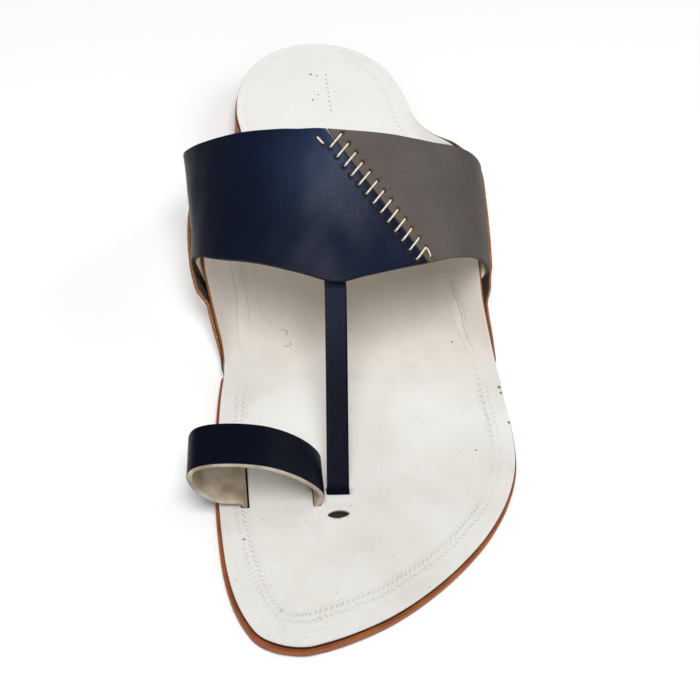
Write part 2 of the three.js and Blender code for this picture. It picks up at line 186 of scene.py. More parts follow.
def travelled(points):
    """Distance along a line of points, from its first point."""
    steps = np.linalg.norm(np.diff(points, axis=0), axis=1)
    return np.concatenate([[0], np.cumsum(steps)])


def nearest(points, targets):
    """The index of the target nearest to each point, and the distance to it."""
    index = np.concatenate([
        ((points[first:first + 4000, None] - targets) ** 2).sum(axis=2).argmin(axis=1)
        for first in range(0, len(points), 4000)
    ])
    return index, np.linalg.norm(points - targets[index], axis=1)


def hermite(start, end, slope_start, slope_end, t):
    """A cubic curve between two values, with the given slopes there."""
    return ((2 * t**3 - 3 * t**2 + 1) * start + (t**3 - 2 * t**2 + t) * slope_start
            + (3 * t**2 - 2 * t**3) * end + (t**3 - t**2) * slope_end)


def station_of(y):
    return np.arccos(1 - 2 * np.clip((y - TOE) / LENGTH, 0, 1)) / math.pi


def y_at(station):
    return TOE + LENGTH * (1 - np.cos(math.pi * station)) / 2


def smooth_column(column):
    """A smooth curve over the stations through one column of SECTIONS."""
    at = station_of(SECTIONS[:, 0])
    value = SECTIONS[:, column]
    before = np.maximum(np.arange(len(at)) - 1, 0)
    after = np.minimum(np.arange(len(at)) + 1, len(at) - 1)
    slope = (value[after] - value[before]) / (at[after] - at[before])

    def curve(station):
        i = np.clip(np.searchsorted(at, station, side="left") - 1, 0, len(at) - 2)
        span = at[i + 1] - at[i]
        t = (station - at[i]) / span
        return hermite(value[i], value[i + 1], span * slope[i], span * slope[i + 1], t)

    return curve


EDGE = {"medial": smooth_column(1), "lateral": smooth_column(2)}
WING = {"medial": smooth_column(3), "lateral": smooth_column(4)}
OUTWARD = {"medial": -1, "lateral": 1}
OTHER = {"medial": "lateral", "lateral": "medial"}


def floor_rise(y):
    spring = np.maximum(0, (SPRING_START - y) / (SPRING_START - TOE)) ** 2
    return HEEL_RISE * smooth(y, RISE_START, RISE_END) + TOE_SPRING * spring


def wing_height(run):
    fold = WING_SLOPE * np.maximum(run + FOLD_SPREAD, 0) ** 2 / (4 * FOLD_SPREAD)
    return np.where(run >= FOLD_SPREAD, WING_SLOPE * run, fold)


def wing_run(height):
    flat = NO_WING * (1 - smooth(height, 0, 0.6))
    fold = np.sqrt(np.maximum(height, 0) * 4 * FOLD_SPREAD / WING_SLOPE) - FOLD_SPREAD - flat
    return np.where(height >= WING_SLOPE * FOLD_SPREAD, height / WING_SLOPE, fold)


def fold_line(side, y):
    station = station_of(y)
    return OUTWARD[side] * EDGE[side](station) - wing_run(WING[side](station))


def past_fold(x, y):
    """How far points in plan lie outside the fold of the wing on their side."""
    y = np.clip(y, TOE, HEEL)
    return np.abs(x) - np.where(x < 0, fold_line("medial", y), fold_line("lateral", y))


def bed_height(x, y):
    return BED + floor_rise(np.clip(y, TOE, HEEL)) + wing_height(past_fold(x, y))


def under_bed(x, y, depth):
    """Points this far under the insole's upper face, measured square to that face."""
    step = 0.4
    slope_x = (bed_height(x + step, y) - bed_height(x - step, y)) / (2 * step)
    slope_y = (bed_height(x, y + step) - bed_height(x, y - step)) / (2 * step)
    normal = unit(np.stack([-slope_x, -slope_y, np.ones_like(slope_x)], axis=-1))
    return np.stack([x, y, bed_height(x, y)], axis=-1) - normal * np.asarray(depth)[..., None]


def edge_point(side, station):
    station = np.asarray(station, float)
    folded = np.where(station < 0, -station, np.where(station > 1, 2 - station, station))
    other = (station < 0) | (station > 1)
    x = np.where(other, EDGE[OTHER[side]](folded), EDGE[side](folded))
    return np.stack([x, y_at(folded)], axis=-1)


def offset_edge(side, station, margin):
    """The insole's edge moved outward by a margin, square to the edge."""
    step = 0.004
    along = unit(edge_point(side, station + step) - edge_point(side, station - step))
    out = np.stack([along[..., 1], -along[..., 0]], axis=-1) * OUTWARD[side]
    return edge_point(side, station) + out * np.asarray(margin)[..., None]


def insole_edge(side, station):
    return offset_edge(side, station, np.zeros_like(station))


def midsole_edge(side, station):
    y = y_at(station)
    ear = smooth(y, -17, -3) * (1 - smooth(y, POCKET_BACK, 86))
    return offset_edge(side, station, EAR_REACH * ear)


def soft_min(a, b, blend):
    mix = np.maximum(blend - np.abs(a - b), 0) / blend
    return np.minimum(a, b) - mix * mix * blend / 4


def outsole_edge(side, station):
    margin = lerp(WELT_BALL, WELT_HEEL, smooth(y_at(station), -20, 60))
    point = offset_edge(side, station, margin)
    in_fold = fold_line(side, point[..., 1]) - FOLD_SPREAD + 0.5
    waist = (point[..., 1] > -60) & (point[..., 1] < 96)
    kept = OUTWARD[side] * soft_min(np.abs(point[..., 0]), in_fold, 3)
    point[..., 0] = np.where(waist, kept, point[..., 0])
    return point


def ear_growth(x, y):
    return EAR_EXTRA * smooth(past_fold(x, y), -3, 1)


def pocket_depth(x, y):
    edge = np.where(x < 0, EDGE["medial"](station_of(y)), EDGE["lateral"](station_of(y)))
    from_edge = np.abs(edge) - np.abs(x)
    along = smooth(y, POCKET_FRONT - POCKET_FADE, POCKET_FRONT)
    along = along * (1 - smooth(y, POCKET_BACK, POCKET_BACK + POCKET_FADE))
    is_open = 1 - smooth(from_edge, ROOT_INSETS[0] + 0.6, ROOT_INSETS[0] + 5)
    return (STRAP_THICK + 2 * POCKET_PLAY - GAP) * along * is_open


# ---- meshes ----
SAME_POINT = 2e-6  # metres


def place(points):
    """Sandal millimetres to metres in the row frame."""
    return (np.asarray(points, float) + SHIFT) * 0.001


def new_object(name, points, faces, materials, face_material):
    mesh = bpy.data.meshes.new(name)
    mesh.from_pydata(place(points).tolist(), [], faces)
    for material in materials:
        mesh.materials.append(material)
    mesh.polygons.foreach_set("material_index", face_material)
    mesh.polygons.foreach_set("use_smooth", [True] * len(faces))
    mesh.update()
    item = bpy.data.objects.new(name, mesh)
    bpy.context.scene.collection.objects.link(item)
    return item


def grid_faces(count, ring):
    """Faces between rows of equal closed rings."""
    faces = []
    for first in range(0, (count - 1) * ring, ring):
        for j in range(ring):
            k = (j + 1) % ring
            faces.append((first + j, first + k, first + ring + k, first + ring + j))
    return faces


def ring_tube(name, rows, materials, slot_of, capped):
    """A tube over a grid of points: rows of equal rings. slot_of(j) is the material of column j."""
    count, ring = rows.shape[:2]
    faces = grid_faces(count, ring)
    slots = [slot_of(j) for j in range(ring)] * (count - 1)
    if capped:
        for r, turn in ((0, -1), (count - 1, 1)):
            for j in range(ring // 2 - 1):
                far = r * ring + ring - 1 - j
                faces.append((r * ring + j, r * ring + j + 1, far - 1, far)[::turn])
                slots.append(2)
    item = new_object(name, rows.reshape(-1, 3), faces, materials, slots)
    weld(item)
    return item


def weld(item, fill_holes=False):
    """Joins equal points, fills open ends if asked to, and turns every face outward."""
    bm = bmesh.new()
    bm.from_mesh(item.data)
    bmesh.ops.remove_doubles(bm, verts=bm.verts, dist=SAME_POINT)
    bmesh.ops.dissolve_degenerate(bm, edges=bm.edges, dist=SAME_POINT / 2)
    if fill_holes:
        bmesh.ops.holes_fill(bm, edges=[edge for edge in bm.edges if edge.is_boundary])
    bmesh.ops.recalc_face_normals(bm, faces=bm.faces)
    bm.to_mesh(item.data)
    bm.free()


def layer_slots(face, ring, raw=0):
    """Materials over a ring whose first `face` columns are one face and the others the second.

    0 is the first face, 1 the second and 2 the edges. raw is how many columns of the second face
    look like the edge.
    """
    def slot_of(j):
        if 1 <= j < face - 2:
            return 0
        if face + 1 + raw <= j < ring - 2 - raw:
            return 1
        return 2

    return slot_of


def set_value(item, name, values):
    layer = item.data.attributes.new(name, "FLOAT", "POINT")
    layer.data.foreach_set("value", np.asarray(values, np.float32))


def points_of(item):
    """The object's points in sandal millimetres."""
    co = np.zeros(len(item.data.vertices) * 3)
    item.data.vertices.foreach_get("co", co)
    return co.reshape(-1, 3) * 1000 - SHIFT


# ---- shader building ----
def srgb(red, green, blue):
    def linear(value):
        value /= 255
        return value / 12.92 if value <= 0.04045 else ((value + 0.055) / 1.055) ** 2.4

    return (linear(red), linear(green), linear(blue), 1)


class Wire:
    """One shader value, so that materials can be written as sums and products."""

    def __init__(self, skin, socket):
        self.skin = skin
        self.socket = socket

    def math(self, operation, *others):
        return self.skin.wire("ShaderNodeMath", self, *others, operation=operation)

    def __add__(self, other):
        return self.math("ADD", other)

    def __sub__(self, other):
        return self.math("SUBTRACT", other)

    def __mul__(self, other):
        return self.math("MULTIPLY", other)

    def wrap(self, period):
        return self.math("FLOORED_MODULO", period)

    def step(self, low, high, start=0.0, end=1.0):
        """Eases from start to end as the value goes from low to high."""
        return self.skin.wire("ShaderNodeMapRange", self, low, high, start, end,
                              interpolation_type="SMOOTHSTEP")

    def near(self, centre, width):
        """1 at the centre, easing to 0 at this distance from it."""
        return (self - centre).math("ABSOLUTE").step(0, width, 1, 0)


def most_of(wires):
    """The greatest of several values."""
    return reduce(lambda first, second: first.math("MAXIMUM", second), wires)


class Skin:
    """A principled material built from wires; positions are sandal millimetres."""

    def __init__(self, name, **sockets):
        self.material = bpy.data.materials.new(name)
        self.material.use_nodes = True
        self.tree = self.material.node_tree
        self.bsdf = self.tree.nodes["Principled BSDF"]
        for key, value in sockets.items():
            self.bsdf.inputs[key.replace("_", " ")].default_value = value
        coords = self.wire("ShaderNodeTexCoord", output="Object")
        self.point = self.wire("ShaderNodeVectorMath", coords, (1000, 1000, 1000), -SHIFT,
                               operation="MULTIPLY_ADD")
        split = self.node("ShaderNodeSeparateXYZ", self.point)
        self.x, self.y, self.z = (Wire(self, out) for out in split.outputs)

    def node(self, kind, *inputs, **settings):
        """A new node with these settings, its first sockets fed with the inputs."""
        made = self.tree.nodes.new(kind)
        for key, value in settings.items():
            setattr(made, key, value)
        for socket, value in zip(made.inputs, inputs):
            self.feed(socket, value)
        return made

    def wire(self, kind, *inputs, output=0, **settings):
        return Wire(self, self.node(kind, *inputs, **settings).outputs[output])

    def feed(self, socket, value):
        if isinstance(value, Wire):
            self.tree.links.new(value.socket, socket)
        else:
            socket.default_value = value

    def value(self, name):
        return self.wire("ShaderNodeAttribute", output="Fac", attribute_name=name)

    def noise(self, scale, detail=2.0, stretch=(1, 1, 1), offset=0.0):
        """Noise from 0 to 1 with this many lumps to a millimetre."""
        unturned = (0, 0, 0)
        mapped = self.wire("ShaderNodeMapping", self.point, [offset] * 3, unturned, stretch)
        made = self.node("ShaderNodeTexNoise", mapped)
        made.inputs["Scale"].default_value = scale
        made.inputs["Detail"].default_value = detail
        return Wire(self, made.outputs[0])

    def cells(self, scale):
        """Distance to the nearest of many scattered points, in units of their spacing."""
        made = self.node("ShaderNodeTexVoronoi", self.point)
        made.inputs["Scale"].default_value = scale
        return Wire(self, made.outputs["Distance"])

    def far_from(self, x, y):
        """Distance in plan from a place."""
        from_x, from_y = self.x - x, self.y - y
        return (from_x * from_x + from_y * from_y).math("SQRT")

    def spot(self, x, y, radius):
        """1 inside a soft round spot in plan."""
        return self.far_from(x, y).step(radius * 0.5, radius * 1.5, 1, 0)

    def arc(self, x, y, radius, side_x, side_y):
        """Part of a thin ring in plan, on the side of its middle given by the direction."""
        facing = (self.x - x) * side_x + (self.y - y) * side_y
        return self.far_from(x, y).near(radius, 0.4) * facing.step(-0.4 * radius, 0.3 * radius)

    def line(self, x0, y0, x1, y1, strength):
        """A thin straight line in plan that fades out at both ends."""
        width = 0.45
        reach = math.hypot(x1 - x0, y1 - y0)
        run_x, run_y = (x1 - x0) / reach, (y1 - y0) / reach
        from_x, from_y = self.x - x0, self.y - y0
        across = from_x * run_y - from_y * run_x + self.noise(0.07, 2.0) * 3.0 - 1.5
        along = from_x * run_x + from_y * run_y
        fade = along.step(0, 0.25 * reach) * along.step(0.7 * reach, reach, 1, 0)
        return across.near(0.0, width) * fade * strength

    def mix(self, first, second, amount):
        node = self.node("ShaderNodeMix", amount, data_type="RGBA")
        self.feed(node.inputs[6], first)
        self.feed(node.inputs[7], second)
        return Wire(self, node.outputs[2])

    def paint(self, color, *layers):
        """A colour with others laid over it, each as strongly as its own value says."""
        for over, amount in layers:
            color = self.mix(color, over, amount)
        return color

    def clouds(self, scale, detail=4.0, **settings):
        """Soft-edged patches from 0 to 1."""
        return self.noise(scale, detail, **settings).step(0.35, 0.7)

    def finish(self, color, roughness, height=None, depth_mm=0.1):
        self.feed(self.bsdf.inputs["Base Color"], color)
        self.feed(self.bsdf.inputs["Roughness"], roughness)
        if height is not None:
            bump = self.node("ShaderNodeBump")
            bump.inputs["Distance"].default_value = depth_mm * 0.001
            self.feed(bump.inputs["Height"], height)
            self.tree.links.new(bump.outputs[0], self.bsdf.inputs["Normal"])
        return self.material


# ---- leathers ----
WHITE = srgb(221, 220, 217)
BONE = srgb(209, 205, 197)
SHADE_AND_MARK_GREY = srgb(172, 166, 157)
WARM_PAINTED_SHADE = srgb(196, 172, 148)
TAN = srgb(206, 160, 118)
CHESTNUT = srgb(152, 80, 24)
RUST = srgb(126, 60, 14)
MAROON = srgb(48, 16, 8)
NAVY = srgb(10, 20, 42)
NAVY_DEEP = srgb(5, 9, 24)
NAVY_PLAIN = srgb(3, 7, 20)
NAVY_WEAR_AND_SHEEN = srgb(26, 42, 70)
NAVY_LIT = srgb(48, 64, 96)
TAUPE = srgb(90, 83, 80)
TAUPE_DARK = srgb(76, 70, 67)
UMBER = srgb(88, 66, 46)
BLACK = srgb(14, 10, 9)
CREAM = srgb(232, 222, 200)
PAINTED_LIGHT_WHITE = srgb(236, 235, 231)
DUST = srgb(120, 114, 108)
CURL = srgb(168, 132, 98)
NICK = srgb(84, 58, 42)
RAW = srgb(150, 104, 66)
RAW_DARK = srgb(112, 62, 24)


def mark_row(skin, edge, inset, width, pitch, slant):
    """A row of short pressed marks that follows the outline at a distance from the edge."""
    along = skin.value("along") + edge * slant + skin.noise(0.5, 1.0, offset=8) * 1.6
    mark = along.wrap(pitch).near(pitch / 2, pitch * 0.4)
    return edge.near(inset, width) * mark


def imprint(skin):
    """The pressed double row of stitch marks round the forefoot and the fainter ones at the heel."""
    toe = skin.y.step(-88, -130)
    edge = skin.value("edge") + skin.noise(0.09, 1.0) * 1.6 - 0.8 - toe * 2.3
    fore = skin.y.step(-46, -36, 1, 0)
    patchy = skin.noise(0.06, 2.0, offset=21).step(0.3, 0.6, 0.35, 1)
    inner = mark_row(skin, edge, 7.4, 1.3, 1.9, 0.9)
    outer = mark_row(skin, edge, 5.2, 1.2, 1.9, -0.8)
    crease = edge.near(8.8, 0.4)
    rim = edge.near(1.9, 0.35)
    dashes = mark_row(skin, edge, 7.6, 1.3, 2.5, 0.1) * skin.y.step(-72, -60) * skin.x.step(0, 10)
    dashes = dashes * skin.y.step(-26, -16, 1, 0)
    heel = skin.y.step(72, 84)
    heel_marks = mark_row(skin, edge, 7.4, 1.4, 2.4, 0.1) * skin.x.step(8, 16)
    heel_line = edge.near(3.2, 0.35)
    return (fore * patchy * (inner + outer * 0.8 + crease * 0.35 + rim * 0.25) + dashes * 0.6
            + heel * (heel_marks * 0.6 + heel_line * 0.3))


# fine creases in plan: x and y of one end, then of the other, and how strongly each shows
FINE_LINES = [
    (-41.6, 30, -38.0, -30, 0.8), (-38.6, 34, -34.2, -26, 0.6), (-33.6, 30, -30.6, -22, 0.5),
    (35.4, 9, 42.3, -33, 1.0), (36.8, 4, 41.6, -22, 0.7), (33.8, 0, 40.2, -34, 0.5),
]
# brown curls worn into the white face: x, y, radius and the direction of the part that shows
CURLS = [(-23.8, -17.6, 1.3, 0.8, 0.6), (-23.0, -22.8, 1.2, 0.6, -1)]
# nicks at the edge and pinholes: x, y, radius
EDGE_NICKS = [(47.4, -42.7, 0.6), (47.6, -45.2, 0.525), (48.0, -58.0, 0.6)]
PINHOLES = [
    (-42.0, -101.5, 0.375), (34.7, -69.3, 0.3), (34.4, -22.0, 0.375), (-3.2, 117.5, 0.525),
    (-0.8, 116.8, 0.375), (-1.4, 104.3, 0.3375), (-3.9, 100.8, 0.45),
]


def surface_marks(skin):
    """Brown curls, nicks at the edge and pinholes, from 0 to 1."""
    curls = most_of(skin.arc(*curl) for curl in CURLS)
    dots = skin.x.near(2.8, 0.6) * skin.y.wrap(2.9).near(1.45, 0.6) * skin.y.step(90, 93)
    dots = dots * skin.y.step(118, 121, 1, 0)
    return curls, most_of([dots] + [skin.spot(*spot) for spot in EDGE_NICKS + PINHOLES])


def insole_top():
    skin = Skin("insole_face", Specular_IOR_Level=0.25, Sheen_Weight=0.04, Sheen_Roughness=0.5)
    pressed = imprint(skin)
    lines = most_of(skin.line(*line) for line in FINE_LINES)
    curls, dots = surface_marks(skin)
    speck = skin.cells(0.42).step(0.06, 0.15, 1, 0) * skin.noise(0.2, 2.0, offset=7).step(0.42, 0.62)
    dust = skin.noise(2.4, 4.0).step(0.5, 0.75)
    clouds = skin.noise(0.035, 3.0, offset=3).step(0.35, 0.75)
    worn = skin.noise(0.05, 4.0, offset=11).step(0.46, 0.72)
    less_at_heel = skin.y.step(40, 75, 1, 0.45)
    # painted shade: a warm darker tone on the foot bed under the instep strap, where the strap shades
    # it
    painted_shade_under_strap = skin.y.step(-48, -14) * skin.y.step(20, 60, 1, 0)
    color = skin.paint(
        WHITE,
        (BONE, clouds * less_at_heel * 0.6),
        (WARM_PAINTED_SHADE, painted_shade_under_strap * 0.24),
        # painted shade: the foot bed made greyer towards the toe, where less light falls
        (SHADE_AND_MARK_GREY, skin.y.step(-55, -95) * 0.2),
        # painted light: the heel end of the foot bed made whiter, where more light falls
        (PAINTED_LIGHT_WHITE, skin.y.step(50, 85) * 0.6),
        (SHADE_AND_MARK_GREY, worn * less_at_heel * 0.18 + pressed * 0.34 + lines * 0.4),
        (DUST, speck * 0.5 + dust * 0.14),
        (CURL, curls * 0.75),
        (NICK, dots * 0.85),
    )
    grain = skin.noise(2.6, 4.0) * 0.35 + skin.noise(0.7, 2.0) * 0.35
    return skin.finish(color, 0.62, grain - pressed * 1.5 - lines * 1.2, 0.14)


def insole_side():
    skin = Skin("insole_cut_edge", Specular_IOR_Level=0.25)
    fibre = skin.noise(1.6, 3.0, stretch=(1, 1, 5))
    waist = skin.mix(RAW_DARK, srgb(160, 104, 60), fibre.step(0.35, 0.7))
    heel = skin.mix(srgb(170, 124, 90), srgb(112, 76, 50), fibre)
    raw = skin.mix(waist, heel, skin.y.step(62, 84))
    color = skin.mix(WHITE, raw, skin.y.step(-37, -30))
    return skin.finish(color, 0.7, fibre, 0.1)


def flesh(name, first, second):
    skin = Skin(name, Specular_IOR_Level=0.2, Sheen_Weight=0.15, Sheen_Roughness=0.6)
    fuzz = skin.noise(2.0, 5.0)
    color = skin.mix(first, second, skin.clouds(0.12))
    return skin.finish(color, 0.88, fuzz, 0.2)


def midsole_outer():
    skin = Skin("ear_face", Specular_IOR_Level=0.35)
    clouds = skin.noise(0.08, 3.0).step(0.4, 0.75)
    hole = skin.value("hole")
    torn = hole + skin.noise(2.2, 3.0) * 0.7
    color = skin.paint(WHITE, (BONE, clouds * 0.6), (RAW, torn.step(0.9, 1.5, 0.8, 0)),
                       (NAVY_DEEP, hole.step(0.0, 0.3, 1, 0)))
    return skin.finish(color, 0.6, skin.noise(2.2, 4.0) * 0.4, 0.12)


def midsole_side():
    skin = Skin("ear_cut_edge", Specular_IOR_Level=0.3)
    fibre = skin.noise(1.4, 4.0, stretch=(1, 1, 4))
    raw = skin.mix(RAW_DARK, srgb(176, 122, 78), fibre.step(0.35, 0.7))
    ear = skin.y.step(-34, -24) * skin.y.step(70, 84, 1, 0)
    color = skin.mix(MAROON, raw, ear)
    return skin.finish(color, 0.65, fibre, 0.15)


def burnished(skin, patches):
    """Rubbed brown of a cut sole edge, and its fibres."""
    fibre = skin.noise(0.9, 4.0, stretch=(0.3, 0.3, 4))
    return skin.mix(CHESTNUT, RUST, patches * 0.7 + fibre * 0.3), fibre


def outsole_side():
    """Cut edge of the outsole, darker along its lower rim."""
    skin = Skin("outsole_cut_edge", Specular_IOR_Level=0.4)
    color, fibre = burnished(skin, skin.clouds(0.07))
    color = skin.mix(color, MAROON, skin.value("low").step(0.1, 0.5, 0.9, 0))
    return skin.finish(color, 0.5, fibre, 0.2)


def heel_side():
    """Cut edge of the heel's layers, with a dark line between each two."""
    skin = Skin("heel_cut_edge", Specular_IOR_Level=0.4, Coat_Weight=0.08, Coat_Roughness=0.4)
    color, fibre = burnished(skin, skin.clouds(0.06, stretch=(1, 1, 2)))
    lines = skin.z.wrap(HEEL_LAYER).near(0.0, 0.35)
    color = skin.paint(color, (MAROON, lines * 0.55), (MAROON, skin.z.step(0.15, 0.7, 0.85, 0)))
    return skin.finish(color, 0.5, fibre, 0.2)


def sole_bottom():
    skin = Skin("sole_underside", Specular_IOR_Level=0.3)
    scratches = skin.noise(0.5, 4.0, stretch=(3, 0.25, 1)).step(0.5, 0.75)
    color = skin.mix(srgb(186, 132, 84), srgb(158, 104, 60), skin.clouds(0.03))
    color = skin.mix(color, srgb(120, 78, 44), scratches * 0.35)
    return skin.finish(color, 0.55, skin.noise(1.6, 4.0), 0.15)


def seam_marks(skin, color, raw, raw_width, fuzz):
    """Raw leather along the seam and the punched holes of the stitches: a torn umber rim round a
    black centre, which is painted shade of the hole's depth.
    """
    seam = skin.value("seam") + skin.noise(0.9, 3.0, offset=5) * 0.7
    hole = skin.value("hole") + skin.noise(2.4, 3.0, offset=9) * 0.5
    return skin.paint(color, (raw, seam.step(raw_width, raw_width + 0.35, 1, 0)),
                      (UMBER, hole.step(fuzz, fuzz + 0.5, 0.85, 0)),
                      # painted shade: the black centre of each stitch hole
                      (BLACK, hole.step(0.55, 0.95, 1, 0)))


def navy_face(name, seamed):
    """Polished navy: the instep panel with a painted highlight on its crown, or the darker plain
    straps with a painted highlight towards their upper end; both are painted darker on the medial
    side as painted shade.
    """
    skin = Skin(name, Specular_IOR_Level=0.1 if seamed else 0.06)
    grain = skin.noise(1.7, 4.0)
    pores = skin.cells(1.5).step(0.0, 0.5)
    scratch = skin.noise(0.35, 3.0, stretch=(0.5, 3.2, 1), offset=4).step(0.66, 0.78)
    if seamed:
        base, deep, worn = NAVY, 0.6, 0.35
        # painted highlight: a lighter soft patch on the crown of the instep panel, where the key
        # light reflects
        painted_highlight = (NAVY_LIT, skin.x.near(-15, 22) * skin.y.near(2, 26) * 0.42)
    else:
        base, deep, worn = NAVY_PLAIN, 0.9, 0.12
        # painted highlight: the upper part of the T-strap made lighter, where light catches it
        painted_highlight = (NAVY_WEAR_AND_SHEEN, skin.y.step(-62, -40) * 0.25)
    color = skin.paint(
        base,
        (NAVY_DEEP, skin.clouds(0.05, 3.0) * deep),
        (NAVY_WEAR_AND_SHEEN, grain.step(0.5, 0.85) * worn),
        # painted shade: the medial side of the navy pieces darker, where it faces away from the light
        (NAVY_DEEP, skin.x.step(-30, -52) * 0.7),
        painted_highlight,
        (NAVY_WEAR_AND_SHEEN, scratch * 0.5),
    )
    if seamed:
        color = seam_marks(skin, color, UMBER, 0.25, 0.75)
    rough = grain.step(0.3, 0.8, 0.33, 0.46)
    return skin.finish(color, rough, grain * 0.5 + pores * 0.4, 0.1)


def grey_face():
    skin = Skin("grey_face", Specular_IOR_Level=0.16, Sheen_Weight=0.03, Sheen_Roughness=0.5)
    grain = skin.noise(2.2, 4.0)
    speck = skin.cells(0.6).step(0.1, 0.24, 1, 0) * skin.noise(0.25, 2.0, offset=2).step(0.38, 0.58)
    color = skin.paint(
        TAUPE,
        (TAUPE_DARK, skin.clouds(0.05, 3.0) * 0.5 + grain * 0.3),
        # painted shade: the lateral part of the grey panel darker, where it faces away from the light
        (srgb(60, 55, 53), skin.x.step(22, 44) * 0.7),
        (srgb(40, 32, 32), speck * 0.75),
    )
    color = seam_marks(skin, color, srgb(96, 78, 58), 1.0, 1.0)
    return skin.finish(color, 0.66, grain * 0.6, 0.1)


def strap_edge(name, dark, raw):
    """Cut edge of a strap: dyed dark with a brown raw fringe."""
    skin = Skin(name, Specular_IOR_Level=0.25)
    fibre = skin.noise(1.8, 4.0)
    color = skin.mix(dark, raw, fibre.step(0.45, 0.7) * 0.75)
    return skin.finish(color, 0.75, fibre, 0.15)


def cord():
    skin = Skin("stitch_cord", Specular_IOR_Level=0.35, Sheen_Weight=0.2, Sheen_Roughness=0.4)
    twist = skin.noise(1.6, 3.0, stretch=(1.4, 1.4, 0.6))
    color = skin.mix(CREAM, srgb(176, 156, 128), twist.step(0.45, 0.8))
    return skin.finish(color, 0.6, twist, 0.15)


# ---- the sole ----
RIM = 0.28  # radius of the rounded rim of a sole layer's cut edge
EDGE_INSETS = [0.7, 1.2, 1.8, 2.6, *np.arange(3.5, 14), 15, 17, 19.5, 22]


def stations(spacing):
    """Stations a given distance apart along the sole, closer round its ends."""
    return np.linspace(0, 1, int(LENGTH * math.pi / 2 / spacing))


def face_insets(middle):
    """Insets across the sole: from the medial edge to the lateral one, as (side, mm or share)."""
    inner = [("medial", inset) for inset in EDGE_INSETS]
    across = [("middle", share) for share in np.linspace(0, 1, middle)[1:-1]]
    outer = [("lateral", inset) for inset in reversed(EDGE_INSETS)]
    return inner + across + outer


def inset_point(edge, station, half, kind, amount):
    """Points in plan that far inside an edge, all along the sole."""
    squeeze = np.minimum(1, half / FULL_HALF)
    medial = edge("medial", station)
    lateral = edge("lateral", station)
    width = np.maximum(lateral[:, 0] - medial[:, 0], 1e-6)
    last = EDGE_INSETS[-1] * squeeze / width
    share = {
        "medial": amount * squeeze / width,
        "lateral": 1 - amount * squeeze / width,
        "middle": lerp(last, 1 - last, amount),
    }[kind]
    share = np.clip(share, 0, 1)
    return lerp(medial, lateral, share[:, None])


def sole_ring(edge, station, top, thick, middle, dent):
    """All the rings of one sole layer, with rounded rims, and how many columns its top face has.

    top and thick are depths and thicknesses over the plan; dent lowers points of the upper face.
    """
    half = (EDGE["lateral"](station) - EDGE["medial"](station)) / 2
    rim = [(0.0, RIM), (0.08, 0.08), (RIM, 0.0)]
    upper = [("medial", inset, depth) for inset, depth in rim]
    upper += [(kind, amount, None) for kind, amount in face_insets(middle)]
    upper += [("lateral", inset, depth) for inset, depth in reversed(rim)]

    def ring_line(kind, amount, depth, from_under):
        plan = inset_point(edge, station, half, kind, amount)
        x, y = plan[:, 0], plan[:, 1]
        if from_under:
            return under_bed(x, y, top(x, y) + thick(x, y) - (depth or 0))
        return under_bed(x, y, top(x, y) + (dent(x, y) if depth is None else depth))

    ring = [ring_line(*spot, False) for spot in upper]
    ring += [ring_line(*spot, True) for spot in reversed(upper)]
    return np.stack(ring, axis=1), len(upper)


def sole_layer(name, edge, top, thick, spacing, middle, materials, dent=None, raw=0):
    """materials are for the upper face, the lower face and the cut edge.

    raw is how many columns of the lower face look like the cut edge.
    """
    rows, face = sole_ring(edge, stations(spacing), top, thick, middle, dent or level(0))
    return ring_tube(name, rows, materials, layer_slots(face, rows.shape[1], raw), capped=False)


def outline():
    """The insole's outline in plan and the distance along it, from the toe round both sides."""
    station = np.linspace(0, 1, 900)
    medial, lateral = (edge_point(side, station) for side in ("medial", "lateral"))
    along = np.concatenate([travelled(medial), -travelled(lateral)])
    return np.concatenate([medial, lateral]), along


def mark_edges(item):
    """Stores each point's distance from the outline and its place along it, in millimetres."""
    line, along = outline()
    index, gap = nearest(points_of(item)[:, :2], line)
    set_value(item, "edge", gap)
    set_value(item, "along", along[index])


def distance_to_path(x, y, path):
    """Distance in plan from points to a line through the given points."""
    best = np.full(np.shape(x), 1e9)
    for (x0, y0), (x1, y1) in zip(path[:-1], path[1:]):
        run_x, run_y = x1 - x0, y1 - y0
        t = np.clip(((x - x0) * run_x + (y - y0) * run_y) / (run_x**2 + run_y**2), 0, 1)
        best = np.minimum(best, np.hypot(x - x0 - t * run_x, y - y0 - t * run_y))
    return best


# soft creases pressed into the foot bed: path in plan, half width, depth
CREASES = [
    ([(-37.5, 58), (-40.5, 40), (-41.6, 20), (-41.2, 2), (-39.2, -14), (-37.4, -30)], 1.5, 0.3),
    ([(-35.6, 50), (-37.9, 30), (-38.4, 10), (-36.4, -12)], 1.2, 0.2),
    ([(35.6, 8), (38.4, -8), (42.4, -30)], 1.3, 0.3),
    ([(33.0, 0), (36.0, -14), (39.0, -34)], 1.2, 0.2),
    ([(36.8, 60), (37.6, 40), (36.6, 18), (34.8, -4)], 1.8, 0.3),
    ([(-30, -34), (-8, -38), (18, -35), (34, -31)], 5.0, 0.14),
]


def crease_dent(x, y):
    total = np.zeros_like(x)
    for path, width, depth in CREASES:
        total = total + depth * np.exp(-(distance_to_path(x, y, path) / width) ** 2)
    return total


# raised lips round the slots of the T-strap, the spare slot and the loop: path, height, width
LIPS = [
    ([(TEE_LEFT, TEE_SIDE[0, 0]), (TEE_RIGHT, TEE_SIDE[0, 0])], 0.55, 1.3),
    ([(-15.6, -93.6), (-9.6, -92.8)], 0.35, 1.8),
    ([(-18.6, LOOP_FRONT), (-18.6, LOOP_BACK)], 0.25, 1.8),
]


def slot_lip(x, y):
    lift = np.zeros_like(x)
    for path, height, width in LIPS:
        gap = distance_to_path(x, y, path)
        lift = lift + height * np.exp(-((gap - 1.2) / width) ** 2)
    return lift


